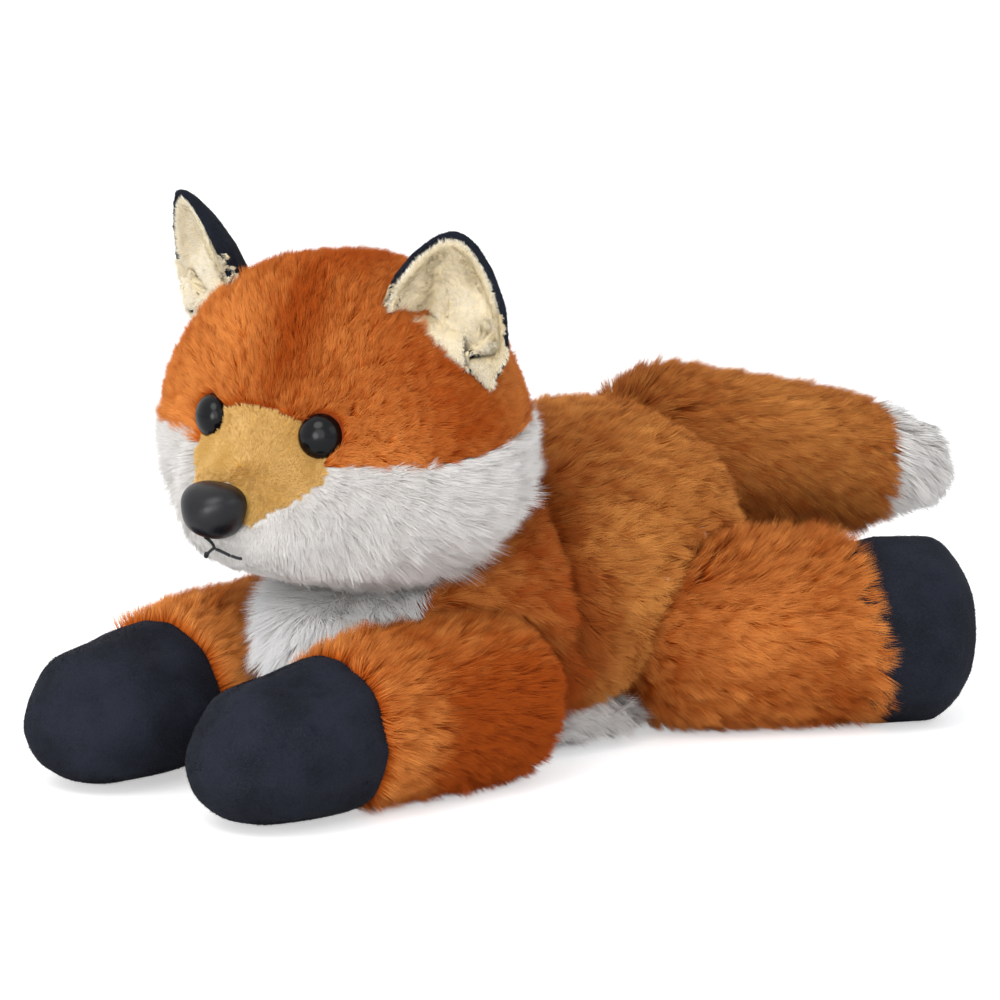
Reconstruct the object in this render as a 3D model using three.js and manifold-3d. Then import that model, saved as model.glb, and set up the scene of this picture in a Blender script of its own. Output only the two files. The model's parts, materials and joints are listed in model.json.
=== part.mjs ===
// A plush fox lying on its belly: sewn plush and short-pile panels over fibre filling,
// bags of plastic pellets in the belly and paws, and moulded eyes and nose held by washers.
// Millimetres, +Z up. The fox faces -Y, and its left side is +X. The floor is z = 0.
import * as THREE from "three";
import { mergeVertices } from "three/addons/utils/BufferGeometryUtils.js";
import Module from "manifold-3d";

const wasm = await Module();
wasm.setup();

// Cloth and clearances
const plushThickness = 4.5; // backing and pressed pile of the long-haired panels
const velourThickness = 2.2; // short-pile cloth of the paws, nose bridge and ears
const seamGap = 0.3; // between two panels that are sewn edge to edge
const fillingGap = 0.4; // between a panel's back and what fills it
const jointGap = 0.7; // round a limb's root in its socket
const sweepGap = 2.2; // between the head and what makes room for it
const cutOverrun = 40; // how far a cutting block reaches past what it cuts
const mergeTolerance = 0.0001;
const simplifyTolerance = 0.1;
const roomTolerance = 0.3;

// Where the middle of the whole toy lies, seen from the middle of its body
const originX = 0;
const originY = 24;

// Torso
const torsoLength = 152;
const torsoWidth = 98;
const torsoHeight = 95;
const torsoSink = 3; // how far the floor flattens the belly
const torsoCentreY = 13;
const bellyPanelHeight = 15; // of the white panel's edge above the floor
const bibWidth = 50;
const bibBackY = -36;
const pelletBagLength = 62;
const pelletBagWidth = 46;
const pelletBagHeight = 18;
const pelletBagY = 18;

// Head, its neck, and how it is turned at rest
const headLength = 79;
const headWidth = 112;
const headHeight = 90;
const muzzleLength = 19;
const headCentre = new THREE.Vector3(0, -46.5, 100);
const headTurnDeg = 6; // towards the fox's left
const headRollDeg = 3; // left ear lower
const neckPivot = new THREE.Vector3(0, -26, 71);
const neckRadius = 25;
const headTurnLimitDeg = 20;
const headNodDownDeg = -4;
const headNodUpDeg = 9;
const bridgeWidth = 45;
const bridgeBackY = -72;
const bridgeAboveEyes = 5; // of its upper edge over the middle of the eyes
const bridgeBelowNose = 3; // of its lower edge under the middle of the nose
const cheekLineBelowEyes = 5; // of the seam between crown and cheeks
const cheekLineRiseDeg = 9; // the seam climbs towards the ears

// Eyes, nose and mouth
const eyeDiameter = 12.5;
const eyeDomeHeight = 5;
const eyeSpacing = 41;
const eyeHeight = 100;
const eyeOutwardDeg = 26;
const eyeSeatDepth = 3.5; // how deep an eye sits in the pile
const stemDiameter = 4;
const stemLength = 11;
const washerDiameter = 14;
const washerThickness = 1.6;
const washerBore = 4.6;
const noseWidth = 18;
const noseHeight = 15;
const noseDepth = 9;
const noseRise = 80;
const noseTaperShare = 0.22; // the nose is wide at the top and narrow below
const noseSeatDepth = 0.5;
const mouthThread = 1.4;
const mouthTop = 71; // height of the stitch's upper end, behind the nose
const mouthDrop = 6;
const mouthSpread = 8;
const mouthSag = 1.5;

// Ears
const earLength = 47;
const earWidth = 38;
const earCup = 8; // depth of the hollow
const earRoot = new THREE.Vector3(37, -57, 124); // left ear, in the unturned head
const earOutwardDeg = 26; // the way the hollow faces, from straight ahead
const earLeanDeg = 10; // the tip leans outwards
const earForwardDeg = 15; // and forwards
const earRootDepth = 11; // how deep its lower end starts in the head
const earRootRadius = 3; // of the bound edge that the ear turns on
const earRootLength = 24;
const earFloor = 3; // the gathered cloth at the foot of the hollow
const earFoldLimitDeg = 20;

// Forelegs
const forelegPivot = new THREE.Vector3(39, -34, 22.5);
const forelegWidth = 45;
const forelegHeight = 47;
const forelegSleeveLength = 53; // from the shoulder to the paw's seam
const forepawLength = 42; // from that seam to the tip of the paw
const forelegInwardDeg = 5; // toes turned a little in
const forelegDownDeg = -70;
const forelegUpDeg = 3;

// Hind legs
const hindLegPivot = new THREE.Vector3(37, 50, 27);
const hindLegWidth = 47;
const hindLegHeight = 56;
const hindLegSleeveLength = 52;
const hindFootLength = 33;
const hindLegYawDeg = 37; // outwards from straight back
const hindLegDownDeg = -60;
const hindLegUpDeg = 3;

// Tail
const tailPivot = new THREE.Vector3(3, 78, 78);
const tailWidth = 42;
const tailHeight = 44;
const tailSleeveLength = 70;
const tailTipLength = 34;
const tailYawDeg = 16; // towards the fox's left
const tailDropDeg = 10;
const tailDownDeg = -4;
const tailUpDeg = 45;

// Colours and finishes
const finish = (colour, roughness, metalness = 0) =>
  new THREE.MeshStandardMaterial({ color: colour, roughness, metalness });
const russetPlush = finish("#b4541c", 0.95);
const brownPlush = finish("#9c5a22", 0.95);
const whitePlush = finish("#ececee", 0.95);
const tanVelour = finish("#b98a3c", 0.9);
const blackVelour = finish("#14161e", 0.9);
const creamVelour = finish("#d8c9a6", 0.9);
const glossyBlack = finish("#0b0c10", 0.12);
const blackThread = finish("#17171a", 0.8);
const washerPlastic = finish("#e8e8e4", 0.5);
const fibre = finish("#f5f4ef", 1);
const pelletCloth = finish("#dcdcd6", 0.9);

const radians = THREE.MathUtils.degToRad;

// A three.js geometry as a solid, moved by a matrix.
function solidOf(geometry, matrix = new THREE.Matrix4()) {
  const moved = geometry.index ? geometry.toNonIndexed() : geometry.clone();
  moved.deleteAttribute("normal");
  moved.deleteAttribute("uv");
  moved.applyMatrix4(matrix);
  const merged = mergeVertices(moved, mergeTolerance);
  return new wasm.Manifold(
    new wasm.Mesh({
      numProp: 3,
      vertProperties: merged.attributes.position.array,
      triVerts: new Uint32Array(merged.index.array),
    }),
  );
}

// The solid as a three.js geometry with flat facets.
function geometryOf(solid) {
  const mesh = solid.getMesh();
  const geometry = new THREE.BufferGeometry();
  geometry.setAttribute("position", new THREE.BufferAttribute(mesh.vertProperties, 3));
  geometry.setIndex(new THREE.BufferAttribute(mesh.triVerts, 1));
  geometry.computeVertexNormals();
  return geometry;
}

const movedBy = (x, y, z) => new THREE.Matrix4().makeTranslation(x, y, z);

function turnedAbout(point, axis, degrees) {
  return movedBy(point.x, point.y, point.z)
    .multiply(new THREE.Matrix4().makeRotationAxis(axis, radians(degrees)))
    .multiply(movedBy(-point.x, -point.y, -point.z));
}

const moveSolid = (solid, matrix) => solid.transform(matrix.elements);

function block(low, high) {
  const size = new THREE.Vector3().subVectors(high, low);
  const centre = new THREE.Vector3().addVectors(low, high).multiplyScalar(0.5);
  return solidOf(
    new THREE.BoxGeometry(size.x, size.y, size.z),
    movedBy(centre.x, centre.y, centre.z),
  );
}

function ball(centre, radius, sides = 28, rings = 18) {
  return solidOf(
    new THREE.SphereGeometry(radius, sides, rings),
    movedBy(centre.x, centre.y, centre.z),
  );
}

// A stuffed form: closed rings along +Y. Each station holds shares of the form's length,
// width, height and, for its middle, of the height again. A curve runs through the stations.
// pearShare widens the rings' lower half. shrink draws the whole form in by that length.
function stuffedForm({ length, width, height, stationShares, pearShare = 0, rings, sides, shrink = 0 }) {
  const stations = new THREE.CatmullRomCurve3(
    stationShares.map(([along, wide]) => new THREE.Vector3(along, wide, 0)),
  );
  const heights = new THREE.CatmullRomCurve3(
    stationShares.map(([, , tall, rise]) => new THREE.Vector3(tall, rise, 0)),
  );
  const points = [];
  const squeeze = (full) => Math.max(full / 2 - shrink, 0) / (full / 2);
  const lengthwise = (length - 2 * shrink) / length;
  for (let ring = 0; ring <= rings; ring++) {
    const t = ring / rings;
    const { x: along, y: wide } = stations.getPoint(t);
    const { x: tall, y: rise } = heights.getPoint(t);
    const y = along * length * lengthwise;
    const halfWidth = (wide * width * squeeze(width)) / 2;
    const halfHeight = (tall * height * squeeze(height)) / 2;
    if (ring === 0 || ring === rings) {
      points.push([new THREE.Vector3(0, y, rise * height)]);
      continue;
    }
    const loop = [];
    for (let side = 0; side < sides; side++) {
      const angle = (2 * Math.PI * side) / sides;
      const pear = 1 - pearShare * Math.sin(angle);
      loop.push(
        new THREE.Vector3(
          halfWidth * pear * Math.cos(angle),
          y,
          rise * height + halfHeight * Math.sin(angle),
        ),
      );
    }
    points.push(loop);
  }
  return closedSkin(points);
}

// Joins rings of points, with a single point at each end, into one closed skin facing out.
function closedSkin(rings) {
  const flat = [];
  const starts = rings.map((ring) => {
    const start = flat.length / 3;
    ring.forEach((p) => flat.push(p.x, p.y, p.z));
    return start;
  });
  const faces = [];
  for (let ring = 0; ring + 1 < rings.length; ring++) {
    const [near, far] = [rings[ring].length, rings[ring + 1].length];
    const sides = Math.max(near, far);
    for (let side = 0; side < sides; side++) {
      const next = (side + 1) % sides;
      const a = starts[ring] + (near > 1 ? side : 0);
      const b = starts[ring] + (near > 1 ? next : 0);
      const c = starts[ring + 1] + (far > 1 ? side : 0);
      const d = starts[ring + 1] + (far > 1 ? next : 0);
      if (near > 1) faces.push(a, b, c);
      if (far > 1) faces.push(b, d, c);
    }
  }
  const geometry = new THREE.BufferGeometry();
  geometry.setAttribute("position", new THREE.Float32BufferAttribute(flat, 3));
  geometry.setIndex(faces);
  const solid = solidOf(geometry);
  if (solid.volume() > 0) return solid;
  for (let i = 0; i < faces.length; i += 3) {
    [faces[i + 1], faces[i + 2]] = [faces[i + 2], faces[i + 1]];
  }
  geometry.setIndex(faces);
  return solidOf(geometry);
}

const X = new THREE.Vector3(1, 0, 0);
const Y = new THREE.Vector3(0, 1, 0);
const Z = new THREE.Vector3(0, 0, 1);
const unionOf = (solids) => wasm.Manifold.union(solids);
const mirrored = (solid) => solid.mirror([1, 0, 0]);
const everything = 2 * torsoLength; // further than any piece reaches
const underFloor = block(
  new THREE.Vector3(-everything, -everything, -cutOverrun),
  new THREE.Vector3(everything, everything, 0),
);

const fox = new THREE.Group();
fox.position.set(-originX, -originY, 0);

function addPiece(name, solid, material) {
  const mesh = new THREE.Mesh(geometryOf(mainBody(solid.simplify(simplifyTolerance))), material);
  mesh.name = name;
  fox.add(mesh);
}

// The largest part of a cut piece; the scraps that a seam trims off fall away.
function mainBody(solid) {
  const bodies = solid.decompose();
  return bodies.reduce((a, b) => (b.volume() > a.volume() ? b : a));
}

// How far forward a solid reaches, straight ahead of a point of its front view.
function frontOf(solid, x, z) {
  const probe = block(
    new THREE.Vector3(x - seamGap, -everything, z - seamGap),
    new THREE.Vector3(x + seamGap, everything, z + seamGap),
  );
  return solid.intersect(probe).boundingBox().min[1];
}

// The rounded root end of a limb, as stations of its form.
function rootStationShares(rootShare, steps = 4) {
  return Array.from({ length: steps }, (_, step) => {
    const turn = ((step / steps) * Math.PI) / 2;
    return [rootShare * (1 - Math.cos(turn)) - 0.5, Math.sin(turn), Math.sin(turn), 0];
  });
}

// Head: muzzle, flat wide face, full cheeks and rounded back, from the nose to the nape.
const headStationShares = [
  [-0.5, 0, 0, -0.25],
  [-0.487, 0.2, 0.18, -0.25],
  [-0.44, 0.36, 0.31, -0.26],
  [-0.37, 0.46, 0.41, -0.25],
  [-0.31, 0.58, 0.6, -0.17],
  [-0.25, 0.8, 0.82, -0.07],
  [-0.14, 0.95, 0.97, 0],
  [0, 1, 1, 0],
  [0.16, 0.97, 0.98, 0],
  [0.32, 0.8, 0.82, 0.01],
  [0.44, 0.52, 0.52, 0.02],
  [0.49, 0.24, 0.24, 0.02],
  [0.5, 0, 0, 0.02],
];
const headPearShare = 0.1;
const headForm = (shrink, rings, sides) =>
  moveSolid(
    stuffedForm({
      length: headLength + muzzleLength,
      width: headWidth,
      height: headHeight,
      stationShares: headStationShares,
      pearShare: headPearShare,
      rings,
      sides,
      shrink,
    }),
    movedBy(headCentre.x, headCentre.y - muzzleLength / 2, headCentre.z),
  );
const headOuter = headForm(0, 18, 20);
const headCavity = headForm(plushThickness, 9, 10);
const neckSocket = ball(neckPivot, neckRadius + jointGap, 16, 10);
const headTurn = turnedAbout(neckPivot, Z, headTurnDeg).multiply(
  turnedAbout(neckPivot, Y, headRollDeg),
);

// Eyes and nose: a moulded button outside, its stem through the cloth, a washer inside.
const disc = (diameter, front, back, sides) =>
  solidOf(
    new THREE.CylinderGeometry(diameter / 2, diameter / 2, back - front, sides),
    movedBy(0, (front + back) / 2, 0),
  );
function dome(width, height, depth, taperShare) {
  const whole = solidOf(
    new THREE.SphereGeometry(1 / 2, 16, 8),
    new THREE.Matrix4().makeScale(width, 2 * depth, height),
  ).warp((point) => {
    point[0] *= 1 + (2 * taperShare * point[2]) / height;
  });
  const behind = block(
    new THREE.Vector3(-width, 0, -height),
    new THREE.Vector3(width, 2 * depth, height),
  );
  return whole.subtract(behind);
}
function faceButton(width, height, depth, place, seatDepth, taperShare = 0) {
  const washerFront = plushThickness + fillingGap - seatDepth;
  const washerBack = washerFront + washerThickness;
  const stem = (grow) => disc(stemDiameter + 2 * grow, -grow - seamGap, stemLength + grow, 8);
  const washer = (grow) =>
    disc(washerDiameter + 2 * grow, washerFront - grow, washerBack + grow, 12);
  const base = (grow) => disc(height - depth + 2 * grow, -grow - seamGap, seamGap + grow, 14);
  const front = (grow) =>
    dome(width + 2 * grow, height + 2 * grow, depth + grow, taperShare).add(base(grow));
  return {
    button: moveSolid(front(0).add(stem(0)), place),
    washer: moveSolid(washer(0).subtract(stem((washerBore - stemDiameter) / 2)), place),
    space: moveSolid(
      unionOf([front(seamGap), stem(seamGap), washer(fillingGap)]),
      place,
    ),
  };
}
const eyePlace = (side) => {
  const x = (side * eyeSpacing) / 2;
  return movedBy(x, frontOf(headOuter, x, eyeHeight), eyeHeight)
    .multiply(new THREE.Matrix4().makeRotationZ(side * radians(eyeOutwardDeg)))
    .multiply(movedBy(0, eyeSeatDepth, 0));
};
const [leftEye, rightEye] = [1, -1].map((side) =>
  faceButton(eyeDiameter, eyeDiameter, eyeDomeHeight, eyePlace(side), eyeSeatDepth),
);
const nose = faceButton(
  noseWidth,
  noseHeight,
  noseDepth,
  movedBy(0, frontOf(headOuter, 0, noseRise) + noseSeatDepth, noseRise),
  noseSeatDepth,
  noseTaperShare,
);

// The mouth is one stitched thread: down from the nose, then out to both sides.
function mouthThreadSolid(grow) {
  const beads = [
    [0, mouthTop],
    [0, mouthTop - mouthDrop],
    [mouthSpread / 2, mouthTop - mouthDrop - mouthSag],
    [mouthSpread, mouthTop - mouthDrop],
  ].map(([x, z]) => {
    const centre = new THREE.Vector3(x, frontOf(headOuter, x, z), z);
    return ball(centre, mouthThread / 2 + grow, 6, 4);
  });
  const half = unionOf(
    beads.slice(1).map((bead, i) => wasm.Manifold.hull([beads[i], bead])),
  );
  return half.add(mirrored(half));
}
const mouth = mouthThreadSolid(0);

// An ear: a cupped back panel with a lining inside it. It turns on the edge bound into the head.
const earStationShares = [
  [-0.5, 0, 0, 0],
  [-0.48, 0.68, 0.6, 0],
  [-0.36, 0.95, 0.95, 0],
  [-0.14, 1, 1, 0],
  [0.1, 0.86, 0.85, 0],
  [0.3, 0.6, 0.6, 0],
  [0.43, 0.34, 0.34, 0],
  [0.49, 0.14, 0.14, 0],
  [0.5, 0, 0, 0],
];
const earDepth = earCup + 2 * velourThickness + seamGap;
const earForm = (shrink) =>
  stuffedForm({
    length: earLength,
    width: earWidth,
    height: 2 * earDepth,
    stationShares: earStationShares,
    rings: 8,
    sides: 14,
    shrink,
  });
const earTurn = turnedAbout(headCentre, Z, earOutwardDeg)
  .multiply(turnedAbout(headCentre, Y, earLeanDeg))
  .multiply(turnedAbout(headCentre, X, earForwardDeg));
const earFacing = Y.clone().negate().transformDirection(earTurn);
const earUp = Z.clone().transformDirection(earTurn);
const earHinge = new THREE.Vector3().crossVectors(earUp, earFacing);
const earPlace = movedBy(earRoot.x, earRoot.y, earRoot.z)
  .multiply(new THREE.Matrix4().makeBasis(earHinge, earUp, earFacing))
  .multiply(movedBy(0, earLength / 2 - earRootDepth, earDepth / 2));
const earHead = headForm(-jointGap, 18, 20);
const earRoom = unionOf(
  [-1, -0.5, 0.5, 1].map((share) =>
    moveSolid(earHead, turnedAbout(earRoot, earHinge, share * earFoldLimitDeg)),
  ),
);
const earHalf = block(
  new THREE.Vector3(-earWidth, -earLength, -2 * earDepth),
  new THREE.Vector3(earWidth, earLength, 0),
);
const earFoot = (lift) =>
  block(
    new THREE.Vector3(-earWidth, -earLength, -2 * earDepth),
    new THREE.Vector3(earWidth, earRootDepth - earLength / 2 + earFloor + lift, 2 * earDepth),
  );
const earEdge = (grow) =>
  moveSolid(
    solidOf(
      new THREE.CylinderGeometry(
        earRootRadius + grow,
        earRootRadius + grow,
        earRootLength + 2 * grow,
        14,
      ),
      new THREE.Matrix4().makeRotationZ(Math.PI / 2),
    ),
    movedBy(earRoot.x, earRoot.y, earRoot.z).multiply(
      new THREE.Matrix4().makeBasis(earHinge, earUp, earFacing),
    ),
  );
const earBack = moveSolid(
  earForm(0).intersect(earHalf).subtract(earForm(velourThickness).subtract(earFoot(0))),
  earPlace,
)
  .subtract(earRoom)
  .add(earEdge(0));
const earLining = moveSolid(
  earForm(velourThickness + seamGap)
    .subtract(earForm(2 * velourThickness + seamGap))
    .intersect(earHalf)
    .subtract(earFoot(seamGap)),
  earPlace,
)
  .subtract(earRoom)
  .subtract(earEdge(seamGap));

// The head's cloth is one skin, open at the neck, cut into crown, cheeks and nose bridge.
const headOpenings = unionOf([
  neckSocket,
  leftEye.space,
  rightEye.space,
  nose.space,
  earEdge(seamGap),
  mirrored(earEdge(seamGap)),
]);
const headSkin = headOuter.subtract(headCavity).subtract(headOpenings);
const cheekLineHeight = eyeHeight - cheekLineBelowEyes;
const cheekBlock = (lift) =>
  moveSolid(
    block(
      new THREE.Vector3(-everything, -everything, -everything),
      new THREE.Vector3(everything, everything, cheekLineHeight + lift),
    ),
    turnedAbout(new THREE.Vector3(0, bridgeBackY, cheekLineHeight), X, cheekLineRiseDeg),
  );

// The bridge of the nose from the front, one half: shares of half its width and of its height.
const bridgeOutlineShares = [
  [0.4, 0],
  [1, 0.44],
  [0.94, 0.64],
  [0.6, 0.93],
  [0.22, 1],
];
const bridgeBottom = noseRise - bridgeBelowNose;
const bridgeHeight = eyeHeight + bridgeAboveEyes - bridgeBottom;
function bridgeBlock(grow) {
  const half = bridgeOutlineShares.map(([across, up]) => [
    across * (bridgeWidth / 2 + grow),
    bridgeBottom - grow + up * (bridgeHeight + 2 * grow),
  ]);
  const outline = [...half, ...half.map(([x, z]) => [-x, z]).reverse()];
  const shape = new THREE.Shape(outline.map(([x, z]) => new THREE.Vector2(x, z)));
  return solidOf(
    new THREE.ExtrudeGeometry(shape, { depth: everything, bevelEnabled: false }),
    movedBy(0, bridgeBackY + grow, 0).multiply(new THREE.Matrix4().makeRotationX(Math.PI / 2)),
  );
}
const headPiece = (name, solid, material) => addPiece(name, moveSolid(solid, headTurn), material);
headPiece("head_crown", headSkin.subtract(cheekBlock(seamGap)).subtract(bridgeBlock(seamGap)), russetPlush);
headPiece(
  "head_cheeks",
  headSkin
    .intersect(cheekBlock(0))
    .subtract(bridgeBlock(seamGap))
    .subtract(mouthThreadSolid(seamGap / 2)),
  whitePlush,
);
headPiece("muzzle_bridge", headSkin.intersect(bridgeBlock(0)), tanVelour);
headPiece(
  "head_filling",
  headForm(plushThickness + fillingGap, 9, 10).subtract(headOpenings),
  fibre,
);
headPiece("eye_left", leftEye.button, glossyBlack);
headPiece("eye_right", rightEye.button, glossyBlack);
headPiece("nose", nose.button, glossyBlack);
headPiece("eye_washer_left", leftEye.washer, washerPlastic);
headPiece("eye_washer_right", rightEye.washer, washerPlastic);
headPiece("nose_washer", nose.washer, washerPlastic);
headPiece("mouth_stitch", mouth, blackThread);
headPiece("ear_left_back", earBack, blackVelour);
headPiece("ear_left_lining", earLining, creamVelour);
headPiece("ear_right_back", mirrored(earBack), blackVelour);
headPiece("ear_right_lining", mirrored(earLining), creamVelour);
addPiece("neck_filling", ball(neckPivot, neckRadius, 16, 10), fibre);

// A limb is a stuffed tube with a ball for a root, cut at one seam into a sleeve and an end.
function limb({ pivot, width, height, sleeveLength, endLength, stationShares, headingDeg, riseDeg }) {
  const rootRadius = Math.max(width, height) / 2;
  const length = rootRadius + sleeveLength + endLength;
  const heading = new THREE.Vector3(
    -Math.sin(radians(headingDeg)),
    Math.cos(radians(headingDeg)),
    0,
  );
  const hinge = new THREE.Vector3().crossVectors(heading, Z);
  const place = movedBy(pivot.x, pivot.y, pivot.z)
    .multiply(new THREE.Matrix4().makeRotationZ(radians(headingDeg)))
    .multiply(new THREE.Matrix4().makeRotationX(radians(riseDeg)))
    .multiply(movedBy(0, length / 2 - rootRadius, 0));
  const form = (shrink, rings, sides) =>
    moveSolid(
      stuffedForm({
        length,
        width,
        height,
        stationShares: [...rootStationShares(rootRadius / length), ...stationShares],
        rings,
        sides,
        shrink,
      }),
      place,
    ).subtract(underFloor.translate([0, 0, Math.max(shrink, 0)]));
  const pastSeam = (gap) =>
    moveSolid(
      block(
        new THREE.Vector3(-everything, rootRadius + sleeveLength - length / 2 + gap, -everything),
        new THREE.Vector3(everything, everything, everything),
      ),
      place,
    );
  const outer = form(0, 12, 16);
  return {
    sleeve: outer.subtract(form(plushThickness, 9, 8)).subtract(pastSeam(0)),
    end: (thickness) => outer.subtract(form(thickness, 9, 8)).intersect(pastSeam(seamGap)),
    filling: form(plushThickness + fillingGap, 9, 8),
    endFilling: (thickness) =>
      form(thickness + fillingGap, 9, 8).intersect(pastSeam(2 * seamGap)),
    pastSeam,
    room: (downDeg, upDeg, steps) =>
      wasm.Manifold.hull(
        Array.from({ length: steps + 1 }, (_, step) =>
          moveSolid(
            form(-jointGap, 12, 16),
            turnedAbout(pivot, hinge, downDeg + ((upDeg - downDeg) * step) / steps),
          ),
        ),
      ).simplify(roomTolerance),
  };
}

const forelegStationShares = [
  [-0.29, 1, 1, 0],
  [-0.12, 1, 1, 0],
  [0.04, 1.03, 1, 0],
  [0.12, 1.07, 0.97, 0],
  [0.17, 1.11, 0.88, -0.05],
  [0.26, 1.17, 0.86, -0.06],
  [0.36, 1.12, 0.8, -0.07],
  [0.44, 0.86, 0.62, -0.11],
  [0.485, 0.5, 0.36, -0.15],
  [0.5, 0, 0, -0.16],
];
const foreleg = limb({
  pivot: forelegPivot,
  width: forelegWidth,
  height: forelegHeight,
  sleeveLength: forelegSleeveLength,
  endLength: forepawLength,
  stationShares: forelegStationShares,
  headingDeg: 180 - forelegInwardDeg,
  riseDeg: 0,
});
const hindLegStationShares = [
  [-0.25, 1, 1, 0],
  [-0.1, 1.06, 1.02, 0],
  [0.08, 1.04, 1, 0],
  [0.2, 1, 0.97, 0],
  [0.28, 1.03, 1, 0],
  [0.38, 1.06, 1.02, 0],
  [0.46, 0.82, 0.8, 0],
  [0.49, 0.44, 0.44, 0],
  [0.5, 0, 0, 0],
];
const hindLeg = limb({
  pivot: hindLegPivot,
  width: hindLegWidth,
  height: hindLegHeight,
  sleeveLength: hindLegSleeveLength,
  endLength: hindFootLength,
  stationShares: hindLegStationShares,
  headingDeg: -hindLegYawDeg,
  riseDeg: 0,
});
const tailStationShares = [
  [-0.33, 1, 1, 0],
  [-0.1, 1.04, 1, 0],
  [0.1, 0.98, 0.95, 0],
  [0.25, 0.86, 0.84, 0],
  [0.38, 0.7, 0.7, 0],
  [0.46, 0.46, 0.46, 0],
  [0.5, 0, 0, 0],
];
const tail = limb({
  pivot: tailPivot,
  width: tailWidth,
  height: tailHeight,
  sleeveLength: tailSleeveLength,
  endLength: tailTipLength,
  stationShares: tailStationShares,
  headingDeg: -tailYawDeg,
  riseDeg: -tailDropDeg,
});

// Torso: chest under the chin, long back, rump up to the tail; the floor flattens the belly.
const torsoStationShares = [
  [-0.5, 0, 0, -0.12],
  [-0.47, 0.4, 0.36, -0.12],
  [-0.38, 0.72, 0.7, -0.08],
  [-0.22, 0.92, 0.92, -0.02],
  [0, 1, 1, 0],
  [0.2, 1, 1.01, 0.01],
  [0.36, 0.88, 0.92, 0.03],
  [0.46, 0.6, 0.66, 0.05],
  [0.5, 0, 0, 0.06],
];
const torsoForm = (shrink, rings, sides) =>
  moveSolid(
    stuffedForm({
      length: torsoLength,
      width: torsoWidth,
      height: torsoHeight,
      stationShares: torsoStationShares,
      rings,
      sides,
      shrink,
    }),
    movedBy(0, torsoCentreY, torsoHeight / 2 - torsoSink),
  ).subtract(underFloor.translate([0, 0, shrink]));
const headRoom = unionOf(
  [-1, 0, 1].flatMap((share) =>
    [headNodDownDeg, (headNodDownDeg + headNodUpDeg) / 2, headNodUpDeg].map((nodDeg) =>
      moveSolid(
        headForm(-sweepGap, 11, 14),
        turnedAbout(neckPivot, Z, share * headTurnLimitDeg)
          .multiply(turnedAbout(neckPivot, X, -nodDeg))
          .multiply(headTurn),
      ),
    ),
  ),
).hull();
const forelegRoom = foreleg.room(forelegDownDeg, forelegUpDeg, 5);
const hindLegRoom = hindLeg.room(hindLegDownDeg, hindLegUpDeg, 4);
const torsoOpenings = unionOf([
  headRoom,
  neckSocket,
  forelegRoom,
  mirrored(forelegRoom),
  hindLegRoom,
  mirrored(hindLegRoom),
  tail.room(tailDownDeg, tailUpDeg, 3),
]);
const torsoSkin = torsoForm(0, 16, 20)
  .subtract(torsoForm(plushThickness, 8, 10))
  .subtract(torsoOpenings);
const bellyBlock = (grow) =>
  block(
    new THREE.Vector3(-everything, -everything, -cutOverrun),
    new THREE.Vector3(everything, everything, bellyPanelHeight + grow),
  ).add(
    block(
      new THREE.Vector3(-bibWidth / 2 - grow, -everything, -cutOverrun),
      new THREE.Vector3(bibWidth / 2 + grow, bibBackY + grow, everything),
    ),
  );
const bagBlock = (grow) =>
  block(
    new THREE.Vector3(
      -pelletBagWidth / 2 - grow,
      pelletBagY - pelletBagLength / 2 - grow,
      -cutOverrun,
    ),
    new THREE.Vector3(
      pelletBagWidth / 2 + grow,
      pelletBagY + pelletBagLength / 2 + grow,
      pelletBagHeight + grow,
    ),
  );
const torsoStuffing = torsoForm(plushThickness + fillingGap, 8, 10).subtract(torsoOpenings);
addPiece("torso_back", torsoSkin.subtract(bellyBlock(seamGap)), brownPlush);
addPiece("torso_belly", torsoSkin.intersect(bellyBlock(0)), whitePlush);
addPiece("torso_filling", torsoStuffing.subtract(bagBlock(fillingGap)), fibre);
addPiece("pellet_bag", torsoStuffing.intersect(bagBlock(0)), pelletCloth);

// The four legs, each pair mirrored, and the tail
const legPieces = [
  ["foreleg", "paw", foreleg],
  ["hind_leg", "foot", hindLeg],
];
for (const [legName, endName, leg] of legPieces) {
  const solids = [
    ["sleeve", leg.sleeve, russetPlush],
    [endName, leg.end(velourThickness), blackVelour],
    ["filling", leg.filling.subtract(leg.pastSeam(0)), fibre],
    ["pellet_pouch", leg.endFilling(velourThickness), pelletCloth],
  ];
  for (const [pieceName, solid, material] of solids) {
    addPiece(`${legName}_left_${pieceName}`, solid, material);
    addPiece(`${legName}_right_${pieceName}`, mirrored(solid), material);
  }
}
addPiece("tail_sleeve", tail.sleeve, brownPlush);
addPiece("tail_tip", tail.end(plushThickness), whitePlush);
addPiece("tail_filling", tail.filling, fibre);

export default fox;
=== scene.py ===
import json
import math

import bmesh
import bpy
import numpy as np
from mathutils import Matrix, Vector
from mathutils.bvhtree import BVHTree
from mathutils.kdtree import KDTree

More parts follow.
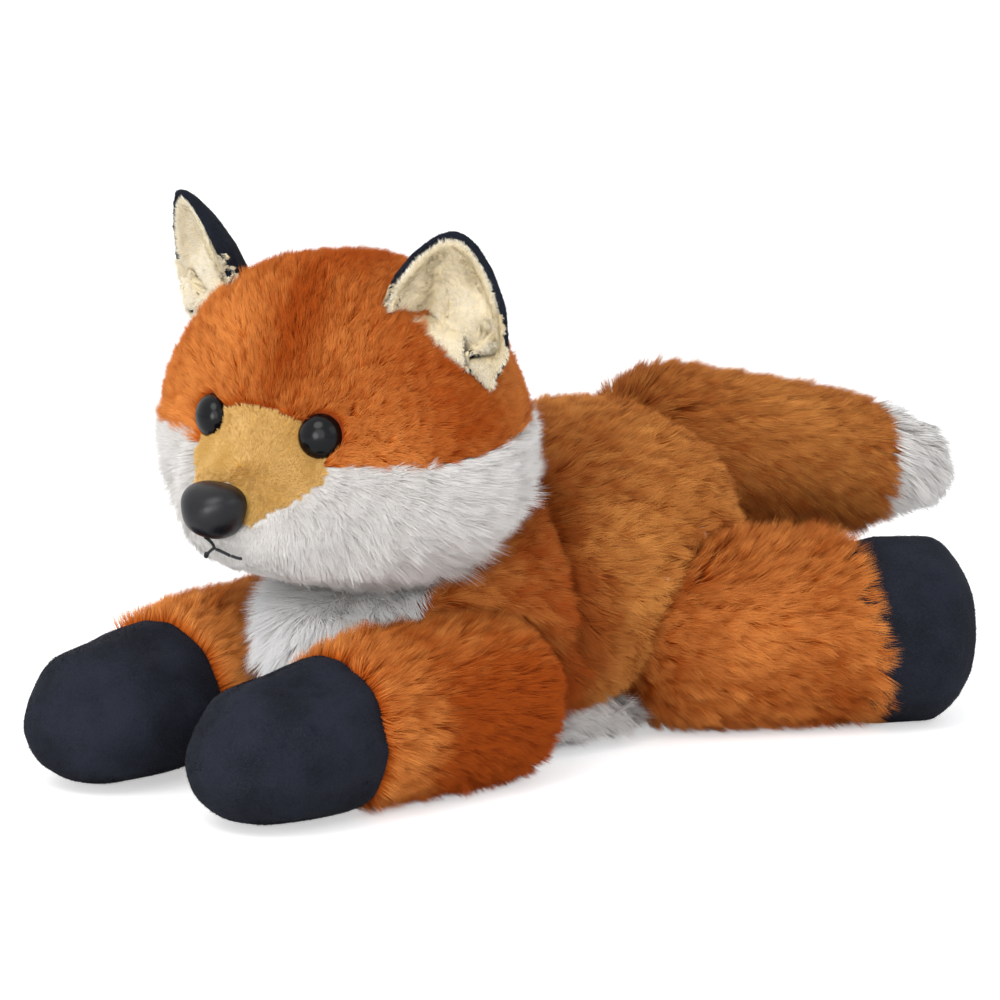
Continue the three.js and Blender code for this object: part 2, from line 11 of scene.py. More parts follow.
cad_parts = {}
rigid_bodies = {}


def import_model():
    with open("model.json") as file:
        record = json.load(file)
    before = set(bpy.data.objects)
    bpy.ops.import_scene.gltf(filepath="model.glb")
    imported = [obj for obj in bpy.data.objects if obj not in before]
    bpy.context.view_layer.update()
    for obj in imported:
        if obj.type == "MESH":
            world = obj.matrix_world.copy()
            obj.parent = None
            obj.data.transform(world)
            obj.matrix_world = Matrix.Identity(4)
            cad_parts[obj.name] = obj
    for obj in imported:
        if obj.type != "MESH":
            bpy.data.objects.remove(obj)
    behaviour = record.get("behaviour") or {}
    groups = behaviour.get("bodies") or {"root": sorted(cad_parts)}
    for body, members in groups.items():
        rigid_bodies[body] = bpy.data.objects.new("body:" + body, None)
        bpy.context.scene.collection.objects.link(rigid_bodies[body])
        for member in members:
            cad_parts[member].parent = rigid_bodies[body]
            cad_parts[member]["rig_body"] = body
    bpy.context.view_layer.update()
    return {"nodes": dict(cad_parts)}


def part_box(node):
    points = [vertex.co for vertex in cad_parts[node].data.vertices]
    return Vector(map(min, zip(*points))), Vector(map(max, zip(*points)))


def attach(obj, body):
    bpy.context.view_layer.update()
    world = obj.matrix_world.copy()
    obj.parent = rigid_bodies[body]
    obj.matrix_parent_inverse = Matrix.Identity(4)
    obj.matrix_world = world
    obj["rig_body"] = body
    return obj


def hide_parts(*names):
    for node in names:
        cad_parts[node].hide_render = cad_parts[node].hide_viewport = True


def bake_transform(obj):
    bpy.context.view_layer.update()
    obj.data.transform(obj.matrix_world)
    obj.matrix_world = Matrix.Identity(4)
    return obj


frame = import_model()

# Studio
# A white sweep with the toy on it, seen a little from above and from its front left.
# A large soft lamp stands high on the toy's right front, a weak one fills its left, a
# low one lights the bib, and two small ones only give the eyes their specks. The room
# gives the rest of the light.
mm = 0.001
origin = np.array((0, 24, 0), float)  # the drawing's zero, in the row frame, in millimetres


def drawn(x, y, z):
    return np.array((x, y, z), float)


def at(x, y, z):
    """A point of the toy's own drawing, in millimetres, as a place in the row frame."""
    return Vector((drawn(x, y, z) - origin) * mm)


def compass(turn_deg, rise_deg):
    """The direction towards something that stands there; 0 is in front of the toy."""
    turn, rise = math.radians(turn_deg), math.radians(rise_deg)
    return Vector((
        math.sin(turn) * math.cos(rise),
        -math.cos(turn) * math.cos(rise),
        math.sin(rise),
    ))


aim = at(12.5, 0, 70)
camera_back = compass(44, 10)
bpy.ops.object.select_all(action="DESELECT")
bpy.ops.object.camera_add(location=aim + camera_back * 1.2)
camera = bpy.context.object
camera.rotation_mode = "QUATERNION"
camera.rotation_quaternion = (-camera_back).to_track_quat("-Z", "Y")
camera.data.sensor_width = 36
camera.data.lens = 154.3
bpy.context.scene.camera = camera
bpy.context.scene.view_settings.view_transform = "Standard"


def soft_lamp(name, turn_deg, rise_deg, distance, size, power):
    away = compass(turn_deg, rise_deg)
    bpy.ops.object.light_add(type="AREA", location=aim + away * distance)
    lamp = bpy.context.object
    lamp.name = name
    lamp.rotation_mode = "QUATERNION"
    lamp.rotation_quaternion = away.to_track_quat("Z", "Y")
    lamp.data.shape = "DISK"
    lamp.data.size = size
    lamp.data.energy = power


soft_lamp("lamp_key", 12, 50, 1.3, 0.75, 5.0)
soft_lamp("lamp_fill", 95, 30, 1.6, 0.9, 1.8)
soft_lamp("lamp_front", 26, 11, 1.5, 1.2, 7.0)
soft_lamp("lamp_low", 12, 6, 0.8, 0.3, 0.95)
soft_lamp("lamp_speck_high", 76, 34, 1.5, 0.04, 0.16)
soft_lamp("lamp_speck_low", 80, 14, 1.5, 0.03, 0.07)


def new_material(name):
    """A material with a Principled shader; returns it with its nodes, links and shader."""
    material = bpy.data.materials.new(name)
    material.use_nodes = True
    tree = material.node_tree
    return material, tree.nodes, tree.links, tree.nodes["Principled BSDF"]


def math_node(nodes, kind, value=0.0):
    node = nodes.new("ShaderNodeMath")
    node.operation = kind
    node.inputs[1].default_value = value
    return node


def with_inputs(node, **values):
    """The node, with these values in its sockets; a socket's name has _ for each space."""
    for key, value in values.items():
        node.inputs[key.replace("_", " ")].default_value = value
    return node


world = bpy.data.worlds.new("studio")
bpy.context.scene.world = world
world.use_nodes = True
nodes, links = world.node_tree.nodes, world.node_tree.links
room_light = with_inputs(nodes["Background"], Color=(0.97, 0.985, 1, 1), Strength=0.8)
white_wall = with_inputs(nodes.new("ShaderNodeBackground"), Color=(1, 1, 1, 1), Strength=1)
ray = nodes.new("ShaderNodeLightPath")
seen, shown = math_node(nodes, "MAXIMUM"), math_node(nodes, "MAXIMUM")
choose = nodes.new("ShaderNodeMixShader")
links.new(ray.outputs["Is Camera Ray"], seen.inputs[0])
links.new(ray.outputs["Is Glossy Ray"], seen.inputs[1])
links.new(seen.outputs[0], shown.inputs[0])
links.new(ray.outputs["Is Transmission Ray"], shown.inputs[1])
links.new(shown.outputs[0], choose.inputs[0])
links.new(room_light.outputs[0], choose.inputs[1])
links.new(white_wall.outputs[0], choose.inputs[2])
links.new(choose.outputs[0], nodes["World Output"].inputs["Surface"])

bpy.ops.mesh.primitive_plane_add(size=8, location=(0, 0, 0))
floor = bpy.context.object
floor.name = "floor"
floor_white, nodes, links, shader = new_material("floor_white")
with_inputs(shader, Base_Color=(0.9, 0.9, 0.9, 1), Roughness=1, Specular_IOR_Level=0,
            Emission_Color=(1, 1, 1, 1))
ray = nodes.new("ShaderNodeLightPath")
whiter = math_node(nodes, "MULTIPLY", 0.5)
links.new(ray.outputs["Is Camera Ray"], whiter.inputs[0])
links.new(whiter.outputs[0], shader.inputs["Emission Strength"])
floor.data.materials.append(floor_white)

# Torso
# The body is a sewn bag of long plush, stuffed with fibre, with pellets low in the belly.
# Its back and sides are brown, and the belly and bib are white. The fur is a pile of fine
# strands rooted in the cloth, combed back from the neck to the rump.
def only(obj):
    """Makes obj the one selected and active object."""
    bpy.ops.object.select_all(action="DESELECT")
    obj.select_set(True)
    bpy.context.view_layer.objects.active = obj


def applied(obj, kind, **settings):
    """Adds a modifier with these settings, and applies it."""
    only(obj)
    modifier = obj.modifiers.new(kind.lower(), kind)
    for key, value in settings.items():
        setattr(modifier, key, value)
    bpy.ops.object.modifier_apply(modifier=modifier.name)


def linked(name, data):
    """A new object with this mesh or curve, in the scene."""
    obj = bpy.data.objects.new(name, data)
    bpy.context.collection.objects.link(obj)
    return obj


def joined(pieces):
    """One object made of all the pieces; it is the first of them."""
    bpy.ops.object.select_all(action="DESELECT")
    for piece in pieces:
        piece.select_set(True)
    bpy.context.view_layer.objects.active = pieces[0]
    if len(pieces) > 1:
        bpy.ops.object.join()
    return pieces[0]


def cloth_form(name, nodes):
    """Copies of CAD solids, joined into one mesh whose doubles are merged."""
    copies = [linked(name, frame["nodes"][node].data.copy()) for node in nodes]
    form = joined(copies[::-1])
    form.name = name
    form.data.materials.clear()
    bpy.ops.object.mode_set(mode="EDIT")
    bpy.ops.mesh.select_all(action="SELECT")
    bpy.ops.mesh.remove_doubles(threshold=0.00002)
    bpy.ops.object.mode_set(mode="OBJECT")
    return form


def points_of(obj):
    co = np.empty(len(obj.data.vertices) * 3, np.float32)
    obj.data.vertices.foreach_get("co", co)
    return co.reshape(-1, 3).astype(float)


def set_points(obj, co):
    obj.data.vertices.foreach_set("co", co.astype(np.float32).ravel())
    obj.data.update()


def normals_of(obj):
    no = np.empty(len(obj.data.vertices) * 3, np.float32)
    obj.data.vertex_normals.foreach_get("vector", no)
    return no.reshape(-1, 3).astype(float)


def largest_shell(obj):
    """Deletes every loose shell but the one with the most vertices."""
    mesh = bmesh.new()
    mesh.from_mesh(obj.data)
    reached, best = set(), []
    for start in mesh.verts:
        if start in reached:
            continue
        shell, queue = [], [start]
        reached.add(start)
        while queue:
            vert = queue.pop()
            shell.append(vert)
            for edge in vert.link_edges:
                other = edge.other_vert(vert)
                if other not in reached:
                    reached.add(other)
                    queue.append(other)
        if len(shell) > len(best):
            best = shell
    kept = set(best)
    bmesh.ops.delete(mesh, geom=[v for v in mesh.verts if v not in kept], context="VERTS")
    mesh.to_mesh(obj.data)
    mesh.free()


def remeshed(obj, voxel, rounds):
    """Makes obj one closed skin, smoothed this many times."""
    applied(obj, "REMESH", mode="VOXEL", voxel_size=voxel)
    largest_shell(obj)
    applied(obj, "SMOOTH", factor=0.5, iterations=rounds)


def solid_tree(nodes):
    """A search tree of CAD solids, for asking whether a point lies inside one."""
    places, faces = [], []
    for node in nodes:
        mesh = frame["nodes"][node].data
        start = len(places)
        places.extend(v.co.copy() for v in mesh.vertices)
        faces.extend([start + i for i in p.vertices] for p in mesh.polygons)
    return BVHTree.FromPolygons(places, faces)


def stuffed_form(name, nodes, voxel, swell, depth, over=()):
    """The stuffed skin of CAD solids: remeshed, swollen by cloth pressure, then set in by
    the depth of the pile that stands on it, but kept outside the stuffing and the solids
    named in over, and above the floor."""
    frames, clearance, floor_gap = 20, 0.001, 0.0004
    form = cloth_form(name, nodes)
    remeshed(form, voxel, 4)
    start = points_of(form)
    only(form)
    cloth = form.modifiers.new("stuffing", "CLOTH")
    cloth.settings.use_pressure = True
    cloth.settings.uniform_pressure_force = 4
    cloth.settings.effector_weights.gravity = 0
    cloth.point_cache.frame_start, cloth.point_cache.frame_end = 1, frames
    for number in range(1, frames + 1):
        bpy.context.scene.frame_set(number)
    bpy.ops.object.modifier_apply(modifier=cloth.name)
    bpy.context.scene.frame_set(1)
    moved = points_of(form) - start
    far = np.linalg.norm(moved, axis=1, keepdims=True)
    set_points(form, start + moved * np.minimum(1, swell / np.maximum(far, 1e-9)))
    applied(form, "SMOOTH", factor=0.5, iterations=2)
    inner = points_of(form) - normals_of(form) * depth
    inside = [node for node in nodes if node.endswith(("filling", "pouch", "bag"))]
    stuffing = solid_tree(inside + list(over))
    for i, point in enumerate(inner):
        near, normal, _, _ = stuffing.find_nearest(point, 0.006)
        if near is not None and (Vector(point) - near).dot(normal) < clearance:
            inner[i] = near + normal * clearance
    set_points(form, inner)
    applied(form, "SMOOTH", factor=0.5, iterations=2)
    inner = points_of(form)
    inner[:, 2] = np.maximum(inner[:, 2], floor_gap)
    set_points(form, inner)
    applied(form, "SUBSURF", levels=1, render_levels=1)
    return form


def drawing_points(obj):
    return points_of(obj) / mm + origin


def everywhere(p):
    return np.ones(len(p), bool)


def panel(form, name, cuts, keep, seam=0.0004, faces=None):
    """The part of a form between seams: cut along planes, kept where keep(points) is true,
    and faces(points, normals) if it is given, with its edge drawn in as at a seam."""
    cloth = linked(name, form.data.copy())
    only(cloth)
    bpy.ops.object.mode_set(mode="EDIT")
    for place, normal in cuts:
        bpy.ops.mesh.select_all(action="SELECT")
        bpy.ops.mesh.bisect(plane_co=place, plane_no=normal)
    bpy.ops.object.mode_set(mode="OBJECT")
    mesh = bmesh.new()
    mesh.from_mesh(cloth.data)
    places = np.array([f.calc_center_median()[:] for f in mesh.faces]) / mm + origin
    kept = keep(places)
    if faces:
        kept &= faces(places, np.array([f.normal[:] for f in mesh.faces]))
    lost = [face for face, stays in zip(list(mesh.faces), kept) if not stays]
    bmesh.ops.delete(mesh, geom=lost, context="FACES")
    bmesh.ops.triangulate(mesh, faces=[f for f in mesh.faces if len(f.verts) > 4])
    mesh.normal_update()
    for vert in mesh.verts:
        if vert.is_boundary:
            vert.co -= vert.normal * seam
    mesh.to_mesh(cloth.data)
    mesh.free()
    return cloth


body_nodes = {}
for name, node in frame["nodes"].items():
    body_nodes.setdefault(node["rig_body"], []).append(name)
trees, reach = {}, {}
for body, nodes in body_nodes.items():
    if body != "neck":
        trees[body] = solid_tree(nodes)
        corners = np.array([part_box(node) for node in nodes])
        reach[body] = corners[:, 0].min(0), corners[:, 1].max(0)


def covered(points, body):
    """True for each point that lies in the solids of a body other than this one."""
    hidden = np.zeros(len(points), bool)
    for other, tree in trees.items():
        if other == body:
            continue
        low, high = reach[other]
        close = (points > low).all(1) & (points < high).all(1)
        for i in np.flatnonzero(close & ~hidden):
            near, normal, _, _ = tree.find_nearest(points[i], 0.012)
            if near is not None and (Vector(points[i]) - near).dot(normal) < 0:
                hidden[i] = True
    return hidden


def unit(v):
    return v / np.maximum(np.linalg.norm(v, axis=1, keepdims=True), 1e-12)


def even(value):
    """The same length or shade all over a panel."""
    return lambda p, n: np.full(len(p), float(value))


def smooth(low, high, value):
    """From 0 at low to 1 at high, with soft ends."""
    t = np.clip((value - low) / (high - low), 0, 1)
    return t * t * (3 - 2 * t)


def patches(seed, size):
    """Soft blotches of about this size, from -1 to 1, as a function of drawing points."""
    rng = np.random.default_rng(seed)
    ways = rng.normal(0, 2.2 / size, (7, 3))
    starts = rng.uniform(0, 2 * math.pi, 7)
    return lambda p: np.sin(p @ ways.T + starts).sum(1) / 3.2


def pile(name, cloth, body, material, strands, length, comb, shade, *, seed,
         width=0.00027, lift=(38, 18), clump=0.28, clump_size=40, wander=12, droop=0.0, parts=1,
         keep_out=(), cover=True, tone_spread=0.1, bend=None):
    """Strands of fur rooted in a cloth, each a tapered ribbon of parts + 1 points.
    length, comb and shade are functions of the roots, in drawing millimetres, and of their
    normals, and so may lift be: a strand's angles off the cloth, at root and tip. A clump
    draws about clump_size strands together. No strand grows through a keep_out ball. Fur
    given a bend, as fur that crosses a joint is, is left where it stands instead of attached
    to body; the bodies and places in the bend are not read."""
    root_depth, tip_floor, tuft_stretch, tuft_mixing = 0.0004, 0.0003, 0.45, 0.2
    rng = np.random.default_rng(seed)
    mesh = cloth.data
    mesh.calc_loop_triangles()
    co, no = points_of(cloth), normals_of(cloth)
    corners = np.empty(len(mesh.loop_triangles) * 3, np.int32)
    mesh.loop_triangles.foreach_get("vertices", corners)
    corners = corners.reshape(-1, 3)
    a, b, c = (co[corners[:, k]] for k in range(3))
    area = np.linalg.norm(np.cross(b - a, c - a), axis=1)
    pick = rng.choice(len(corners), strands, p=area / area.sum())
    u, v = rng.random((2, strands))
    over = u + v > 1
    u[over], v[over] = 1 - u[over], 1 - v[over]
    share = np.stack([1 - u - v, u, v], 1)[:, :, None]
    roots = (co[corners[pick]] * share).sum(1)
    normals = unit((no[corners[pick]] * share).sum(1))
    if cover:
        under = covered(co + no * 0.001, body).astype(float)
        free = (under[corners[pick]] * share[:, :, 0]).sum(1) < 0.5
        roots, normals = roots[free], normals[free]
    count = len(roots)
    drawing = roots / mm + origin
    way = comb(drawing, normals)
    way = unit(way - normals * (way * normals).sum(1, keepdims=True))
    # a root goes to the nearest tuft, and tufts are long along the comb and mix at their edges
    spread = math.sqrt(area.sum() * clump_size / strands)
    drawn_out = roots - way * ((roots - roots.mean(0)) * way).sum(1, keepdims=True) * tuft_stretch
    tufts = drawn_out[rng.choice(count, max(count // clump_size, 1), replace=False)]
    tree = KDTree(len(tufts))
    for i, p in enumerate(tufts):
        tree.insert(p, i)
    tree.balance()
    mixed = drawn_out + rng.normal(0, spread * tuft_mixing, (count, 3))
    tuft = np.array([tree.find(p)[1] for p in mixed])
    tuft_yaw = rng.normal(0, math.radians(wander), len(tufts))[tuft]
    tuft_lift = rng.normal(0, 6, len(tufts))[tuft]
    tuft_shade = rng.normal(0, tone_spread, len(tufts))[tuft]
    tuft_long = rng.normal(1, 0.1, len(tufts))[tuft]
    side = np.cross(normals, way)
    yaw = tuft_yaw + rng.normal(0, math.radians(wander * 0.6), count)
    way = way * np.cos(yaw)[:, None] + side * np.sin(yaw)[:, None]
    long = (length(drawing, normals) * mm * tuft_long * rng.uniform(0.75, 1.1, count))[:, None]
    low, high = lift(drawing, normals) if callable(lift) else lift
    spots = [roots - normals * root_depth]
    for part in range(parts):
        t = (part + 0.5) / parts
        angle = np.radians(low + (high - low) * t + tuft_lift + rng.normal(0, 4, count))
        step = way * np.cos(angle)[:, None] + normals * np.sin(angle)[:, None]
        step[:, 2] -= droop * t
        spots.append(spots[-1] + unit(step) * long / parts)
    tuft_tip = np.zeros((len(tufts), 3))
    np.add.at(tuft_tip, tuft, spots[-1])
    tuft_tip /= np.maximum(np.bincount(tuft, minlength=len(tufts)), 1)[:, None]
    gather = tuft_tip[tuft] - spots[-1]
    for part in range(1, parts + 1):
        spots[part] = spots[part] + gather * clump * (part / parts) ** 1.5
        spots[part][:, 2] = np.maximum(spots[part][:, 2], tip_floor)
    for centre, radius in keep_out:
        clear = np.ones(count, bool)
        for spot in spots:
            clear &= np.linalg.norm(spot - np.array(centre), axis=1) > radius
        spots = [spot[clear] for spot in spots]
        roots, normals, drawing = roots[clear], normals[clear], drawing[clear]
        tuft_shade, count = tuft_shade[clear], int(clear.sum())
    run = unit(spots[-1] - spots[0])
    flat = unit(np.cross(run, normals))
    lean = np.cross(flat, run)
    twist = rng.normal(0, 0.35, count)[:, None]
    flat = flat * np.cos(twist) + lean * np.sin(twist)
    wide = (width * rng.uniform(0.7, 1.25, count))[:, None]
    soft = unit(normals - run * (normals * run).sum(1, keepdims=True) * 0.6)
    verts, along = [], []
    for part, spot in enumerate(spots[:-1]):
        verts += [spot - flat * wide * 0.5, spot + flat * wide * 0.5]
        along += [part / parts, part / parts]
    verts.append(spots[-1])
    along.append(1.0)
    per = len(verts)
    face = []
    for p in range(0, per - 3, 2):
        face += [(p, p + 1, p + 3), (p, p + 3, p + 2)]
    face.append((per - 3, per - 2, per - 1))
    place = np.stack(verts, 1).reshape(-1, 3)
    faces = (np.arange(count)[:, None, None] * per + np.array(face)[None]).reshape(-1, 3)
    tone = shade(drawing, normals) + tuft_shade + rng.normal(0, tone_spread * 0.7, count)
    mesh = bpy.data.meshes.new(name)
    mesh.vertices.add(len(place))
    mesh.vertices.foreach_set("co", place.astype(np.float32).ravel())
    mesh.loops.add(faces.size)
    mesh.loops.foreach_set("vertex_index", faces.astype(np.int32).ravel())
    mesh.polygons.add(len(faces))
    mesh.polygons.foreach_set("loop_start", np.arange(len(faces), dtype=np.int32) * 3)
    mesh.update(calc_edges=True)
    uv = np.stack([np.repeat(np.clip(tone, 0.01, 0.99), per), np.tile(along, count)], 1)
    mesh.uv_layers.new(name="OFBake").data.foreach_set(
        "uv", uv[faces.ravel()].astype(np.float32).ravel()
    )
    round_off = [soft - flat * 0.3, soft + flat * 0.3] * parts + [soft]
    mesh.normals_split_custom_set_from_vertices(
        np.stack([unit(n) for n in round_off], 1).reshape(-1, 3).tolist()
    )
    fur = linked(name, mesh)
    mesh.materials.append(material)
    if bend:
        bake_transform(fur)
    else:
        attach(fur, body)


def linear(colour):
    """A #rrggbb colour as the linear values that a socket takes."""
    values = []
    for k in (1, 3, 5):
        part = int(colour[k:k + 2], 16) / 255
        values.append(part / 12.92 if part <= 0.04045 else ((part + 0.055) / 1.055) ** 2.4)
    return *values, 1


def fur_material(name, dark, light, specular=0.15):
    """Strands run from the first colour at the root to the last at the tip. Across the UV
    map a dark strand passes into a light one."""
    material, nodes, links, shader = new_material(name)
    uv = nodes.new("ShaderNodeUVMap")
    uv.uv_map = "OFBake"
    split = nodes.new("ShaderNodeSeparateXYZ")
    links.new(uv.outputs["UV"], split.inputs[0])
    mix = nodes.new("ShaderNodeMix")
    mix.data_type = "RGBA"
    for colours, socket in ((dark, mix.inputs[6]), (light, mix.inputs[7])):
        ramp = nodes.new("ShaderNodeValToRGB")
        while len(ramp.color_ramp.elements) < len(colours):
            ramp.color_ramp.elements.new(0.5)
        for i, (element, colour) in enumerate(zip(ramp.color_ramp.elements, colours)):
            element.position = 0.72 * i / (len(colours) - 1)
            element.color = linear(colour)
        links.new(split.outputs["Y"], ramp.inputs[0])
        links.new(ramp.outputs["Color"], socket)
    links.new(split.outputs["X"], mix.inputs[0])
    links.new(mix.outputs[2], shader.inputs["Base Color"])
    with_inputs(shader, Roughness=0.7, Specular_IOR_Level=specular)
    return material


def noise_node(nodes, links, scale):
    """Noise over the object's own place."""
    noise = with_inputs(nodes.new("ShaderNodeTexNoise"), Scale=scale)
    place = nodes.new("ShaderNodeTexCoord")
    links.new(place.outputs["Object"], noise.inputs["Vector"])
    return noise


def cloth_material(name, dark, light, grain_scale=900.0, roughness=0.9, bump=0.3):
    """Cloth with a fine nap: two tones in soft patches, a fine grain and a bump."""
    material, nodes, links, shader = new_material(name)
    grain = with_inputs(noise_node(nodes, links, grain_scale), Detail=3)
    blotch = noise_node(nodes, links, 60)
    weigh = math_node(nodes, "MULTIPLY_ADD", 0.6)
    ramp = nodes.new("ShaderNodeValToRGB")
    for element, position, colour in zip(ramp.color_ramp.elements, (0.5, 1), (dark, light)):
        element.position, element.color = position, linear(colour)
    nap = with_inputs(nodes.new("ShaderNodeBump"), Strength=bump, Distance=0.0005)
    links.new(grain.outputs["Fac"], weigh.inputs[0])
    links.new(blotch.outputs["Fac"], weigh.inputs[2])
    links.new(weigh.outputs[0], ramp.inputs[0])
    links.new(ramp.outputs["Color"], shader.inputs["Base Color"])
    links.new(grain.outputs["Fac"], nap.inputs["Height"])
    links.new(nap.outputs[0], shader.inputs["Normal"])
    with_inputs(shader, Roughness=roughness, Specular_IOR_Level=0.15)
    return material


def finish(piece, node, body, material, bend=None):
    """Gives a piece smooth shading and its material, attaches it to its body, and hides the CAD
    node that it stands for. A piece given a bend is left where it stands instead of attached."""
    only(piece)
    bpy.ops.object.shade_smooth()
    piece.data.materials.append(material)
    if bend:
        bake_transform(piece)
    else:
        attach(piece, body)
    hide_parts(node)


def finish_cloth(cloth, node, body, material, share=0.4):
    """Gives a panel its thickness, inwards, and its place in the toy. Under long pile a share
    of its faces is enough."""
    if share < 1:
        applied(cloth, "DECIMATE", ratio=share)
    applied(cloth, "SOLIDIFY", thickness=0.001, offset=-1, use_rim=True)
    finish(cloth, node, body, material)


brown_fur = fur_material(
    "brown_fur",
    ["#662609", "#883b10", "#a2521f"], ["#934415", "#bc6525", "#df964c"], specular=0.06,
)
shoulder_fur = fur_material(
    "shoulder_fur",
    ["#6f2408", "#923a0d", "#ac501c"], ["#9c4412", "#c46423", "#e4944a"], specular=0.06,
)
brown_cloth = cloth_material("brown_backing", "#5a260c", "#7c3c14")
white_fur = fur_material(
    "white_fur",
    ["#b2aca6", "#cbc6c1", "#dcd8d4"], ["#c9c4bf", "#e2deda", "#f2f0ee"], specular=0.08,
)
# fur of the belly and bib; its light ramp, used on the bib, is painted light: whiter than the other
# white fur, to lift the bib out of the shade under the head
belly_fur_and_bib_painted_light = fur_material(
    "belly_fur_and_bib_painted_light", ["#bdb8b3", "#d6d1cd", "#e7e4e1"], ["#efecea", "#f9f8f6", "#ffffff"]
)
white_cloth = cloth_material("white_backing", "#b8b3ae", "#d2cec9")

torso_form = stuffed_form(
    "torso_form", ["torso_back", "torso_belly", "torso_filling", "pellet_bag"],
    voxel=0.0035, swell=0.003, depth=0.003,
)
# the cloth is drawn in where the shoulder is sewn to the flank, the chest is full between
# the forelegs, and the pellets let the belly sag out on to the floor
fold_place, fold_depth, chest_bulge, belly_spread, stuffing_inset = -4, 0.0045, 0.012, 0.6, 0.003
x, y, z = drawing_points(torso_form).T
fold = np.exp(-(((y - fold_place) / 4.5) ** 2)) * smooth(18, 34, np.abs(x)) * smooth(24, 40, z)
chest = np.exp(-((x / 28) ** 4)) * smooth(-40, -58, y) * smooth(18, 34, z)
chest *= smooth(72, 60, z)
sag = smooth(17, 3, z) * smooth(-22, -12, y) * smooth(38, 28, y)
moved = points_of(torso_form) - normals_of(torso_form) * (fold * fold_depth)[:, None]
moved[:, 1] -= chest * chest_bulge
moved[:, 0] *= 1 + belly_spread * sag
set_points(torso_form, moved)
stuffing = panel(torso_form, "torso_stuffing", [], everywhere, 0)
set_points(stuffing, points_of(stuffing) - normals_of(stuffing) * stuffing_inset)
remeshed(stuffing, 0.004, 4)
belly_top, bib_side, bib_back = 15, 25, -36
torso_cuts = [
    (at(0, 0, belly_top), (0, 0, 1)),
    (at(bib_side, 0, 0), (1, 0, 0)),
    (at(-bib_side, 0, 0), (1, 0, 0)),
    (at(0, bib_back, 0), (0, 1, 0)),
]


def on_belly(p):
    return (p[:, 2] < belly_top) | ((np.abs(p[:, 0]) < bib_side) & (p[:, 1] < bib_back))


def body_comb(p, n):
    """Straight back, sinking a little down the flanks and off the spine."""
    down = smooth(75, 25, p[:, 2]) + smooth(10, -15, p[:, 1]) * smooth(20, 36, np.abs(p[:, 0]))
    return np.stack([np.sign(p[:, 0]) * 0.12, np.ones(len(p)), -0.08 - 0.28 * down], 1)


def body_length(p, n):
    """Longest where the shoulder hangs over the foreleg."""
    x, y, z = p.T
    return 8.5 + 2.5 * smooth(14, -8, y) * smooth(20, 36, np.abs(x)) * smooth(56, 40, z)


def bib_comb(p, n):
    """Down the bib, and outwards from under the belly to the floor."""
    under = smooth(-40, -30, p[:, 1])[:, None]
    top = smooth(50, 62, p[:, 2])
    bib = np.stack([p[:, 0] * 0.05, -0.4 - 1.6 * top, 0.9 * top - 1], 1)
    belly = np.stack([np.sign(p[:, 0]), np.full(len(p), 0.25), np.full(len(p), -0.35)], 1)
    return bib * (1 - under) + belly * under


def bib_shade(p, n):
    """Whitest on the bib, painted light that lifts it out of the shade under the head; greyer on
    the belly.
    """
    return 0.25 + 0.7 * smooth(-32, -42, p[:, 1])


def bib_length(p, n):
    """Longer on the belly, and at the top, where the bib fills the space under the chin."""
    return 9 + 1.5 * smooth(-40, -30, p[:, 1]) + 2 * smooth(50, 62, p[:, 2])


def bib_lift(p, n):
    """Steep on the bib, flat on the belly, where the toy lies on it."""
    under = smooth(-40, -30, p[:, 1])
    return 50 - 18 * under, 26 - 18 * under


body_patches = patches(7, 26)


def body_shade(p, n):
    """Browner on the back; darker and redder under the ruff and in the fold behind the shoulder,
    painted shade where the head shades the nape and where the fold lies in shade.
    """
    # painted shade: the fold behind the shoulder and the nape under the head are darkened in the
    # tone
    fold_painted_shade = np.exp(-(((p[:, 1] + 3) / 6) ** 2)) * smooth(18, 34, np.abs(p[:, 0]))
    hip = np.exp(-(((p[:, 1] - 48) / 16) ** 2)) * smooth(60, 40, p[:, 2])
    nape_painted_shadow = smooth(34, 0, p[:, 1]) * smooth(60, 80, p[:, 2])
    return 0.5 + 0.24 * body_patches(p) - 0.45 * fold_painted_shade - 0.5 * nape_painted_shadow + 0.15 * hip


torso_back = panel(torso_form, "torso_back_cloth", torso_cuts, lambda p: ~on_belly(p))
torso_belly = panel(torso_form, "torso_belly_cloth", torso_cuts, on_belly)
back_quarters = [(at(0, 0, 0), (1, 0, 0)), (at(0, fold_place, 0), (0, 1, 0))]
for seed, side, name in ((11, 1, "left"), (12, -1, "right")):
    for front, where, strands, fur in (
        (1, "shoulder", 52000, shoulder_fur),
        (0, "back", 98000, brown_fur),
    ):
        quarter = panel(
            torso_back, "quarter", back_quarters,
            lambda p: (p[:, 0] * side > 0) & ((p[:, 1] < fold_place) == front), 0,
        )
        pile(f"torso_{where}_pile_{name}", quarter, "torso", fur, strands,
             body_length, body_comb, body_shade, seed=seed + 2 * front, droop=0.08,
             tone_spread=0.18, clump=0.36, clump_size=55, wander=17)
        bpy.data.objects.remove(quarter)
pile("torso_belly_pile", torso_belly, "torso", belly_fur_and_bib_painted_light, 90000, bib_length,
     bib_comb, bib_shade, seed=13, width=0.0003, lift=bib_lift, clump=0.15)
fibre = cloth_material("fibre_filling", "#e3e0d8", "#faf8f2", grain_scale=500, bump=0.6)
stuffing.data.materials.append(fibre)
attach(stuffing, "torso")
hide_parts("torso_filling")
finish_cloth(torso_back, "torso_back", "torso", brown_cloth)
finish_cloth(torso_belly, "torso_belly", "torso", white_cloth)

# Neck
# Between head and body the two cloths meet in a gathered ring round the stuffing. Its
# long white and brown pile closes the gap when the head turns.
neck_cloth = cloth_form("neck_cloth", ["neck_filling"])
applied(neck_cloth, "SUBSURF", levels=2, render_levels=2)
neck_mid, neck_seam = drawn(0, -26, 71), -34


def neck_comb(p, n):
    """Outwards all round, so that the pile fills the joint."""
    return n * 0.2 + (p - neck_mid) * (1, 1, 0) / 25


